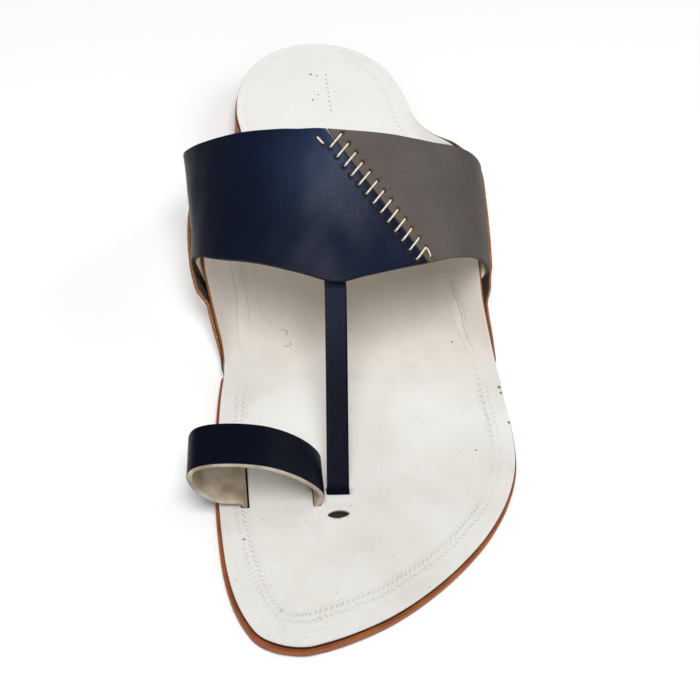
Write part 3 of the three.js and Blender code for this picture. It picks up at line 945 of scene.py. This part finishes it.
def cut(item, tools):
    """Cuts closed tool meshes out of an object, then removes them."""
    for tool in tools:
        modifier = item.modifiers.new("cut", "BOOLEAN")
        modifier.operation = "DIFFERENCE"
        modifier.solver = "MANIFOLD"
        modifier.object = tool
    mesh = bpy.data.meshes.new_from_object(
        item.evaluated_get(bpy.context.evaluated_depsgraph_get()))
    item.modifiers.clear()
    old = item.data
    item.data = mesh
    mesh.name = old.name + "_cut"
    bpy.data.meshes.remove(old)
    for tool in tools:
        bpy.data.objects.remove(tool)


def slot_tool(name, outline_points, material):
    """A block that cuts an outline in plan through the sole's upper layers."""
    count = len(outline_points)
    points = [(x, y, z) for z in (0, BED + 4) for x, y in outline_points]
    faces = [tuple(range(count))[::-1], tuple(range(count, 2 * count))]
    faces += [(i, (i + 1) % count, count + (i + 1) % count, count + i) for i in range(count)]
    return new_object(name, points, faces, [material], [0] * len(faces))


def slit(name, x0, x1, y0, y1, material):
    """A narrow slit with rounded ends."""
    corner = 0.45
    corners = [(x1 - corner, y0 + corner, -90), (x1 - corner, y1 - corner, 0),
               (x0 + corner, y1 - corner, 90), (x0 + corner, y0 + corner, 180)]
    points = []
    for cx, cy, first in corners:
        for turn in (0, 30, 60, 90):
            angle = math.radians(first + turn)
            points.append((cx + corner * math.cos(angle), cy + corner * math.sin(angle)))
    return slot_tool(name, points, material)


def lens(name, x, y, length, width, material):
    """A slot with pointed ends, turned a little off square."""
    turn = 0.12
    points = []
    for i in range(24):
        angle = 2 * math.pi * i / 24
        along = length / 2 * math.cos(angle)
        across = width / 2 * math.sin(angle) * (1 - 0.15 * abs(math.cos(angle)))
        points.append((x + along * math.cos(turn) - across * math.sin(turn),
                       y + along * math.sin(turn) + across * math.cos(turn)))
    return slot_tool(name, points, material)


def level(amount):
    """The same depth or thickness everywhere."""
    return lambda x, y: np.full_like(x, amount)


def build_insole():
    side = insole_side()
    item = sole_layer("insole_bed", insole_edge, level(0), level(INSOLE_THICK), 1.0, 30,
                      [insole_top(), flesh("insole_flesh", BONE, TAN), side],
                      lambda x, y: crease_dent(x, y) - slot_lip(x, y) * 0.8)
    outer, inner, tee = LOOP_SECTION[0, 0], LOOP_SECTION[-1, 0], TEE_SIDE[0, 0]
    loop_y = (LOOP_FRONT - GAP, LOOP_BACK + GAP)
    # painted shade: the walls of the T-strap slot and the spare slot are near black, as if the hollow
    # were in shadow
    painted_shade_walls = strap_edge("slit_walls", BLACK, srgb(40, 28, 22))
    cut(item, [
        slit("slit_a", outer - GAP, outer + LOOP_THICK + LOOP_PLAY + GAP, *loop_y, side),
        slit("slit_b", inner - LOOP_THICK - GAP, inner + GAP, *loop_y, side),
        slit("slit_c", TEE_LEFT - GAP, TEE_RIGHT + GAP, tee - GAP, tee + TEE_SLOT, painted_shade_walls),
        lens("slit_d", *SPARE_SLOT, painted_shade_walls),
    ])
    mark_edges(item)
    return item


# punched holes through the medial ear: place along the sole and height above the bed
EAR_HOLES = [(31.0, 11.0), (8.5, 12.5)]


def mark_ear_holes(item):
    points = points_of(item)
    x, y, z = points.T
    hole = np.full(len(points), 9.0)
    for at, height in EAR_HOLES:
        up = z - (BED + floor_rise(at) + height)
        gap = np.hypot((y - at) / 2.6, up / 2.0)
        hole = np.where(x < 0, np.minimum(hole, (gap - 0.8) * 2.2), hole)
    set_value(item, "hole", hole)


def build_midsole():
    def top(x, y):
        return INSOLE_THICK + GAP + pocket_depth(x, y)

    def thick(x, y):
        return MIDSOLE_THICK + ear_growth(x, y)

    # painted shade: the midsole's upper face, seen only through the slots, is near black as if in
    # shadow
    inside = flesh("ear_inside", srgb(40, 25, 16), srgb(18, 12, 9))
    item = sole_layer("midsole_ears", midsole_edge, top, thick, 1.2, 12,
                      [inside, midsole_outer(), midsole_side()], raw=1)
    mark_ear_holes(item)
    return item


def build_outsole():
    top = level(INSOLE_THICK + MIDSOLE_THICK + 2 * GAP)
    item = sole_layer("outsole_layer", outsole_edge, top, level(OUTSOLE_THICK), 1.6, 10,
                      [flesh("outsole_flesh", CHESTNUT, RUST), sole_bottom(), outsole_side()])
    y, z = points_of(item)[:, 1:].T
    set_value(item, "low", z - floor_rise(np.clip(y, TOE, HEEL)))
    return item


def build_heel():
    """The heel lift, cut straight across at its front."""
    first = float(station_of(BREAST))
    station = np.linspace(first, 1, 120)
    medial, lateral = outsole_edge("medial", station), outsole_edge("lateral", station)
    medial[:, 0] += LIFT_INSET
    lateral[:, 0] -= LIFT_INSET
    medial[0, 1] = lateral[0, 1] = BREAST
    medial[-1, 0] = lateral[-1, 0] = (medial[-1, 0] + lateral[-1, 0]) / 2
    shares = (0, 0.25, 0.5, 0.75, 1)
    columns = [(0, 0.35), (0, 0.65)] + [(share, 1) for share in shares]
    columns += [(1, 0.65), (1, 0.35)] + [(share, 0) for share in reversed(shares)]
    ring = []
    for share, up in columns:
        plan = lerp(medial, lateral, share)
        height = (floor_rise(plan[:, 1]) - GAP) * up
        ring.append(np.column_stack([plan, height]))
    rows = np.stack(ring, axis=1)
    side = heel_side()
    item = ring_tube("heel_layers", rows, [side, sole_bottom(), side],
                     lambda j: 1 if 9 <= j <= 12 else 0, capped=False)
    weld(item, fill_holes=True)
    return item


# ---- the straps ----
@lru_cache(maxsize=None)
def strap_ribs(across):
    """Points the strap's outer face passes through, at a place across its width."""
    ribs = lerp(STRAP_RIBS[:, :3], STRAP_RIBS[:, 3:], across)
    y = lerp(POCKET_FRONT + STRAP_INSET, POCKET_BACK - STRAP_INSET, across)
    depth = INSOLE_THICK + POCKET_PLAY + STRAP_THICK
    roots = {}
    for side in ("medial", "lateral"):
        x = EDGE[side](station_of(y)) - OUTWARD[side] * np.array(ROOT_INSETS)
        roots[side] = under_bed(x, np.full_like(x, y), np.full_like(x, depth))
    return np.concatenate([roots["medial"], ribs, roots["lateral"][::-1]])


def span_at(points, t):
    """The span of a curve through points that each t from 0 to 1 falls in, and the place in it."""
    last = len(points) - 1
    along = np.clip(t, 0, 1) * last
    i = np.minimum(along.astype(int), last - 1)
    return i, (along - i)[:, None]


def centripetal(points, t):
    """A centripetal Catmull-Rom curve, evaluated at an array of t from 0 to 1."""
    i, w = span_at(points, t)
    padded = np.concatenate([[2 * points[0] - points[1]], points, [2 * points[-1] - points[-2]]])
    p0, p1, p2, p3 = (padded[i + k] for k in range(4))

    def span(a, b):
        return np.sum((a - b) ** 2, axis=1, keepdims=True) ** 0.25

    d0, d1, d2 = span(p0, p1), span(p1, p2), span(p2, p3)
    m1 = ((p1 - p0) / d0 - (p2 - p0) / (d0 + d1) + (p2 - p1) / d1) * d1
    m2 = ((p2 - p1) / d1 - (p3 - p1) / (d1 + d2) + (p3 - p2) / d2) * d1
    return hermite(p1, p2, m1, m2, w)


def strap_surface(t, across):
    """Points and normals of the strap's outer face over arrays t and across."""
    def at(places, v):
        return centripetal(strap_ribs(v), places)

    points, normals = [], []
    for v in across:
        along = at(t + 0.002, v) - at(t - 0.002, v)
        over = at(t, v + 0.02) - at(t, v - 0.02)
        points.append(at(t, v))
        normals.append(unit(np.cross(along, over)))
    return np.array(points), np.array(normals)


def soft_wave(points):
    """Small uneven swells of hand-cut leather, in millimetres."""
    x, y, z = points[..., 0], points[..., 1], points[..., 2]
    return (0.16 * np.sin(x * 0.21 + y * 0.13) * np.sin(y * 0.19 - x * 0.05 + 1.3)
            + 0.07 * np.sin(x * 0.53 - y * 0.31 + 0.7) * np.sin(z * 0.4))


def layer_ring(count, thick, rim):
    """The columns round a band, and how many belong to its first face.

    Each is a number across the band, a depth, and a distance inward from the band's edge.
    """
    face = [(0, rim, 0), (0, 0.1, 0.1)] + [(k, 0, 0) for k in range(1, count - 1)]
    face += [(-1, 0.1, -0.1), (-1, rim, 0)]
    return face + [(k, thick - depth, inward) for k, depth, inward in reversed(face)], len(face)


def strap_rings(t, across):
    """Rings of a strap panel, outer face then inner face, and how many columns the outer one has."""
    points, normals = strap_surface(t, across)
    points = points + normals * soft_wave(points)[..., None]
    side = unit(np.gradient(points, axis=0))
    ring, face = layer_ring(len(across), STRAP_THICK, rim=0.35)
    lines = [points[k] + side[k] * inward - normals[k] * depth for k, depth, inward in ring]
    return np.stack(lines, axis=1), face


FIRST_STITCH = 0.908  # place of the rearmost stitch across the strap
STITCH_STEP = 0.0698
HOLE_REACH = 2.7  # from the seam to a hole
HOLE_SHIFT = 0.6  # each stitch slants by this much along the seam
HOLE_BEYOND = 0.45  # the torn hole opens this far past the cord's end
# unevenness of each crossing stitch, in millimetres
WAVER = [0.1, -0.05, 0.12, -0.12, 0.04, 0.1, -0.1, 0.08, -0.04, 0.1, -0.12, 0.05, 0.0]


def seam_point(across, reach, shift):
    """A point of the strap's face beside the seam, and the normal there."""
    step = 0.002

    def at(t, v):
        point, normal = strap_surface(np.array([t]), [v])
        return point[0, 0], normal[0, 0]

    def slopes(t, v):
        along_t = (at(t + step, v)[0] - at(t - step, v)[0]) / (2 * step)
        along_v = (at(t, v + step)[0] - at(t, v - step)[0]) / (2 * step)
        return along_t, along_v

    start, normal = at(SEAM, across)
    along_t, along_v = slopes(SEAM, across)
    seam = unit(along_v)
    square = np.cross(seam, normal)
    square *= np.sign(square @ along_t)
    target = start + square * reach + seam * shift
    t, v = SEAM, across
    for _ in range(6):
        along_t, along_v = slopes(t, v)
        missing = target - at(t, v)[0]
        move = np.linalg.lstsq(np.column_stack([along_t, along_v]), missing, rcond=None)[0]
        t, v = t + move[0] * 0.8, v + move[1] * 0.8
    point, normal = at(t, v)
    return point + normal * soft_wave(point), normal


def stitch_holes():
    """Where each crossing stitch goes in, on the grey side and on the navy side."""
    pairs = []
    for i, waver in enumerate(WAVER):
        across = FIRST_STITCH - i * STITCH_STEP
        grey = seam_point(across, HOLE_REACH + waver, HOLE_SHIFT)
        navy = seam_point(across, -HOLE_REACH + waver * 0.5, -HOLE_SHIFT)
        pairs.append((grey, navy))
    return pairs


HOLES = stitch_holes()
TOP_BAR = (seam_point(0.985, -4.1, 0.4), seam_point(0.95, -3.8, -0.3))
LOW_BAR = (HOLES[-1][0], seam_point(0.02, 1.9, 0.0))


def mark_seam(item, holes):
    """Stores the distance to the seam and to the nearest hole, and presses the holes in."""
    points = points_of(item)
    line = np.array([strap_surface(np.array([SEAM]), [v])[0][0, 0] for v in np.linspace(0, 1, 120)])
    facing = np.array([h[1] for h in holes])
    centres = np.array([h[0] for h in holes])
    centres += HOLE_BEYOND * unit(centres - line[nearest(centres, line)[0]])
    index, hole = nearest(points, centres)
    push = 0.9 * smooth(hole, 0.95, 0.3)
    moved = points - facing[index] * push[:, None]
    item.data.vertices.foreach_set("co", place(moved).ravel())
    item.data.update()
    set_value(item, "seam", nearest(points, line)[1])
    set_value(item, "hole", hole)


def panel_places(start, end, seam_end):
    """Places along the strap, close together beside the seam."""
    reach = 0.09
    fine = np.linspace(0, reach, 64)
    if seam_end == "last":
        coarse = np.linspace(start, end - reach, 110)[:-1]
        return np.concatenate([coarse, end - fine[::-1]])
    coarse = np.linspace(start + reach, end, 70)[1:]
    return np.concatenate([start + fine, coarse])


def build_panel(name, start, end, seam_end, materials, holes):
    across = np.concatenate([[0, 0.008], np.linspace(0.016, 0.984, 108), [0.992, 1]])
    rows, face = strap_rings(panel_places(start, end, seam_end), across)
    item = ring_tube(name, rows, materials, layer_slots(face, rows.shape[1]), capped=True)
    mark_seam(item, holes)
    return item


def tube(path, radius, sides=8):
    """Points and faces of a round cord along a path, with closed ends."""
    path = np.array(path)
    guide = np.array([0.3, 0.2, 0.9])
    points = []
    for i, centre in enumerate(path):
        ahead = unit(path[min(i + 1, len(path) - 1)] - path[max(i - 1, 0)])
        across = unit(np.cross(ahead, guide))
        up = np.cross(across, ahead)
        for k in range(sides):
            angle = 2 * math.pi * k / sides
            lump = radius * (1 + 0.12 * math.sin(i * 1.9 + k * 1.6))
            points.append(centre + lump * (math.cos(angle) * across + math.sin(angle) * up))
    end = (len(path) - 1) * sides
    caps = [tuple(range(sides))[::-1], tuple(range(end, end + sides))]
    return points, grid_faces(len(path), sides) + caps


def stitch_path(first, second, lift, steps=16):
    """A cord from one hole over the leather into another."""
    (start, start_up), (end, end_up) = first, second
    path = [start - start_up * 0.9]
    for i in range(steps + 1):
        t = i / steps
        up = lerp(start_up, end_up, t)
        arch = 1 - (2 * t - 1) ** 4
        path.append(lerp(start, end, t) + up * (lift * arch - 0.15 * (1 - arch)))
    path.append(end - end_up * 0.9)
    return path


def build_stitches():
    points, faces = [], []
    cords = [(grey, navy, 0.42, 0.3) for grey, navy in HOLES]
    cords += [(*TOP_BAR, 0.4, 0.34), (*LOW_BAR, 0.34, 0.26)]
    for first, second, lift, radius in cords:
        some_points, some_faces = tube(stitch_path(first, second, lift), radius)
        base = len(points)
        points += some_points
        faces += [tuple(base + k for k in face) for face in some_faces]
    return new_object("seam_stitches", points, faces, [cord()], [0] * len(faces))


def uniform_spline(points, t):
    """A plain Catmull-Rom curve with held ends, at an array of t from 0 to 1."""
    i, w = span_at(points, t)
    p0 = points[np.maximum(i - 1, 0)]
    p1, p2 = points[i], points[i + 1]
    p3 = points[np.minimum(i + 2, len(points) - 1)]
    return hermite(p1, p2, (p2 - p0) / 2, (p3 - p1) / 2, w)


def even_profile(points, count):
    """Equally spaced points along a profile and its inward normals."""
    dense = uniform_spline(points, np.linspace(0, 1, 1200))
    reach = travelled(dense)
    at = np.linspace(0, reach[-1], count)
    line = np.column_stack([np.interp(at, reach, dense[:, k]) for k in range(2)])
    ahead = unit(np.gradient(line, axis=0))
    return line, np.column_stack([ahead[:, 1], -ahead[:, 0]])


def band(name, line, normal, put, width, thick, columns, materials):
    """A leather band along a profile. put(p, q) makes a point from the profile and a place across."""
    rim = 0.32
    places = [0, *np.linspace(rim / width, 1 - rim / width, columns), 1]
    ring, face = layer_ring(len(places), thick, rim)
    rows = np.stack([put(line + normal * depth, places[k] + inward / width)
                     for k, depth, inward in ring], axis=1)
    return ring_tube(name, rows, materials, layer_slots(face, len(ring)), capped=True)


def build_loop(materials):
    """The toe loop; its cut edge is pale."""
    line, normal = even_profile(LOOP_SECTION, 190)
    top = LOOP_SECTION[:, 1].max()

    def put(p, q):
        height = smooth(p[:, 1], BED, top)
        y = np.full(len(p), lerp(LOOP_BACK, LOOP_FRONT, q))
        return np.column_stack([p[:, 0] + LOOP_LEAN * (1 - q) * height, y, p[:, 1]])

    return band("loop_band", line, normal, put, LOOP_BACK - LOOP_FRONT, LOOP_THICK, 26, materials)


def build_tee(materials):
    line, normal = even_profile(TEE_SIDE, 150)

    def put(p, q):
        x = np.full(len(p), lerp(TEE_LEFT, TEE_RIGHT, q))
        return np.column_stack([x, p[:, 0], p[:, 1]])

    return band("tee_band", line, normal, put, TEE_RIGHT - TEE_LEFT, STRAP_THICK, 14, materials)


# ---- everything together ----
def stand_for(item, slot_name, *nodes):
    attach(item, "root")
    if nodes:
        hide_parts(*nodes)


def build_sandal():
    inside = flesh("strap_flesh", srgb(226, 216, 198), srgb(196, 176, 148))
    cut_dark = strap_edge("strap_cut_edge", BLACK, UMBER)
    navy_holes = [pair[1] for pair in HOLES] + list(TOP_BAR)
    grey_holes = [pair[0] for pair in HOLES] + [LOW_BAR[1]]
    clearance = SEAM_GAP / RIB_SPACING / (RIBS - 1)
    navy = build_panel("navy_panel", 0, SEAM - clearance, "last",
                       [navy_face("navy_face", True), inside, cut_dark], navy_holes)
    grey = build_panel("grey_panel", SEAM + clearance, 1, "first",
                       [grey_face(), inside, strap_edge("grey_cut_edge", TAUPE_DARK, UMBER)],
                       grey_holes)
    plain = [navy_face("navy_plain_face", False), inside, cut_dark]
    stand_for(navy, "navy_leather", "upper_medial")
    stand_for(build_tee(plain), "navy_leather", "upper_medial")
    stand_for(grey, "grey_leather", "upper_lateral")
    # painted shade: the loop's inner face is a darker copy of the strap flesh, as it lies in shadow
    loop_inside_painted_shade = flesh("loop_flesh", srgb(180, 168, 150), srgb(136, 118, 96))
    pale_edge = flesh("loop_cut_edge", srgb(200, 188, 170), srgb(140, 120, 98))
    stand_for(build_loop([plain[0], loop_inside_painted_shade, pale_edge]), "navy_leather", "toe_loop")
    stand_for(build_insole(), "insole_leather", "insole")
    stand_for(build_midsole(), "ear_leather", "midsole")
    stand_for(build_outsole(), "sole_leather", "outsole")
    stand_for(build_heel(), "sole_leather", "heel_lift")
    stand_for(build_stitches(), "stitch_cord")


# ---- floor, light and camera ----
def build_floor():
    bpy.ops.mesh.primitive_plane_add(size=6, location=(0, 0, -0.0004))
    floor = bpy.context.object
    floor.name = "floor"
    skin = Skin("floor_paper", Specular_IOR_Level=0.1)
    floor.data.materials.append(skin.finish(srgb(246, 246, 246), 0.9))
    floor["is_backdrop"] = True


def area_light(name, spot, size, power):
    """A round light aimed at the sandal; its place and size are metres, its power watts."""
    data = bpy.data.lights.new(name, "AREA")
    data.shape = "DISK"
    data.size = size
    data.energy = power
    lamp = bpy.data.objects.new(name, data)
    lamp.location = spot
    lamp.rotation_euler = (-Vector(spot)).to_track_quat("-Z", "Y").to_euler()
    bpy.context.scene.collection.objects.link(lamp)


def build_light():
    world = bpy.data.worlds.new("studio")
    world.use_nodes = True
    background = world.node_tree.nodes["Background"]
    background.inputs["Color"].default_value = (1, 1, 1, 1)
    background.inputs["Strength"].default_value = 0.34
    bpy.context.scene.world = world
    area_light("key", (-0.13, -0.48, 1.07), size=0.72, power=11.9)
    area_light("side", (0.9, 0.3, 0.7), size=0.6, power=3.0)
    view = bpy.context.scene.view_settings
    view.view_transform = "Standard"
    view.look = "None"


EYE = (-74.0, -327.3, 339.3)  # where the sandal is seen from
AIM = (-2.9, -30.5, 10.0)
LOOK_DOWN = math.radians(46.22)  # tilt of the camera before it turns to the sandal
LENS_MM = 69.0


def build_camera():
    eye, aim = Vector(place(EYE)), Vector(place(AIM))
    data = bpy.data.cameras.new("camera")
    data.lens = LENS_MM
    data.sensor_width = 36
    data.clip_start = 0.01
    camera = bpy.data.objects.new("camera", data)
    camera.location = eye
    ahead = Vector((0, math.cos(LOOK_DOWN), -math.sin(LOOK_DOWN)))
    turn = ahead.rotation_difference(aim - eye)
    camera.rotation_mode = "QUATERNION"
    camera.rotation_quaternion = turn @ ahead.to_track_quat("-Z", "Y")
    bpy.context.scene.collection.objects.link(camera)
    bpy.context.scene.camera = camera


build_sandal()
build_floor()
build_light()
build_camera()

boxes = [[[float(value) for value in corner] for corner in box] for box in (cad_box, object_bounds())]
